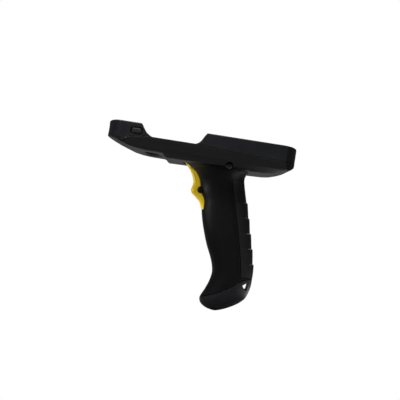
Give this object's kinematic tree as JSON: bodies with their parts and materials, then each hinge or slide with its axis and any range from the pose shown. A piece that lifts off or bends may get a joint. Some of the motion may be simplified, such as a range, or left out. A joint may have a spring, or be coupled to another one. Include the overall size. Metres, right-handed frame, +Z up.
{
  "type": "scanner_pistol_grip",
  "caption": "Pistol-grip trigger handle with a snap-in cradle that turns a handheld mobile computer into a barcode scanner gun.",
  "frame": {"origin": "Centre of the rubber seat pad's top face, where the terminal rests.", "axes": "+X forward, the way the terminal scans; +Y left; +Z up, square to the terminal seat."},
  "size_m": [0.1677, 0.0846, 0.1521],
  "materials": {
    "housing": "fine spark-eroded texture, satin",
    "tub": "fine spark-eroded texture, satin",
    "grip": "smooth soft-touch",
    "rubber": "moulded rubber",
    "trigger": "satin yellow",
    "latch": "satin, ribbed",
    "steel": "zinc plated",
    "screw": "black oxide",
    "contact": "gold plated",
    "board": "green solder mask",
    "component": "moulded nylon",
    "insulation": "sleeved lead"
  },
  "bodies": {
    "body": {"upper_frame": "housing", "lower_tub": "tub", "seat_pad": "rubber", "grip_shell_left": "grip", "grip_shell_right": "grip", "grip_back_strap": "rubber", "base_cap": "housing", "trigger_pin": "steel", "trigger_spring": "steel", "switch_body": "component", "switch_lead": "insulation", "contact_board": "board", "contact_block": "component", "lead_connector": "component", "latch_pin_left": "steel", "latch_pin_right": "steel", "latch_spring_left": "steel", "latch_spring_right": "steel", "neck_screw_left": "screw", "neck_screw_right": "screw", "frame_screw_1": "screw", "frame_screw_2": "screw", "frame_screw_3": "screw", "frame_screw_4": "screw", "board_screw_1": "steel", "board_screw_2": "steel", "grip_screw_upper": "screw", "grip_screw_middle": "screw", "grip_screw_lower": "screw", "base_cap_screw": "screw"},
    "trigger": {"trigger": "trigger"},
    "plunger": {"switch_plunger": "component"},
    "contacts": {"contact_pin_1": "contact", "contact_pin_2": "contact", "contact_pin_3": "contact", "contact_pin_4": "contact"},
    "latch_left": {"release_latch_left": "latch"},
    "latch_right": {"release_latch_right": "latch"}
  },
  "joints": [
    {"name": "trigger", "type": "hinge", "parent": "body", "child": "trigger", "pos_m": [0.0105, 0, -0.0105], "axis": [0, 1, 0], "range_deg": [0, 8], "stiffness_Nm_per_rad": 0.6, "springref_deg": -6.88, "deforming": ["trigger_spring"]},
    {"name": "switch_plunger", "type": "slide", "parent": "body", "child": "plunger", "axis": [-1, 0, 0], "range_m": [0, 0.0024]},
    {"name": "contact_pins", "type": "slide", "parent": "body", "child": "contacts", "axis": [0, 0, -1], "range_m": [0, 0.001], "stiffness_N_per_m": 300},
    {"name": "latch_left", "type": "hinge", "parent": "body", "child": "latch_left", "pos_m": [0.068, 0.03935, 0.0105], "axis": [0, 0, 1], "range_deg": [0, 7], "stiffness_Nm_per_rad": 0.05, "springref_deg": -8.59, "deforming": ["latch_spring_left"]},
    {"name": "latch_right", "type": "hinge", "parent": "body", "child": "latch_right", "pos_m": [0.068, -0.03935, 0.0105], "axis": [0, 0, -1], "range_deg": [0, 7], "stiffness_Nm_per_rad": 0.05, "springref_deg": -8.59, "deforming": ["latch_spring_right"]}
  ],
  "couplings": [
    {"joint": "switch_plunger", "follows": "trigger", "m_per_rad": 0.0165}
  ]
}
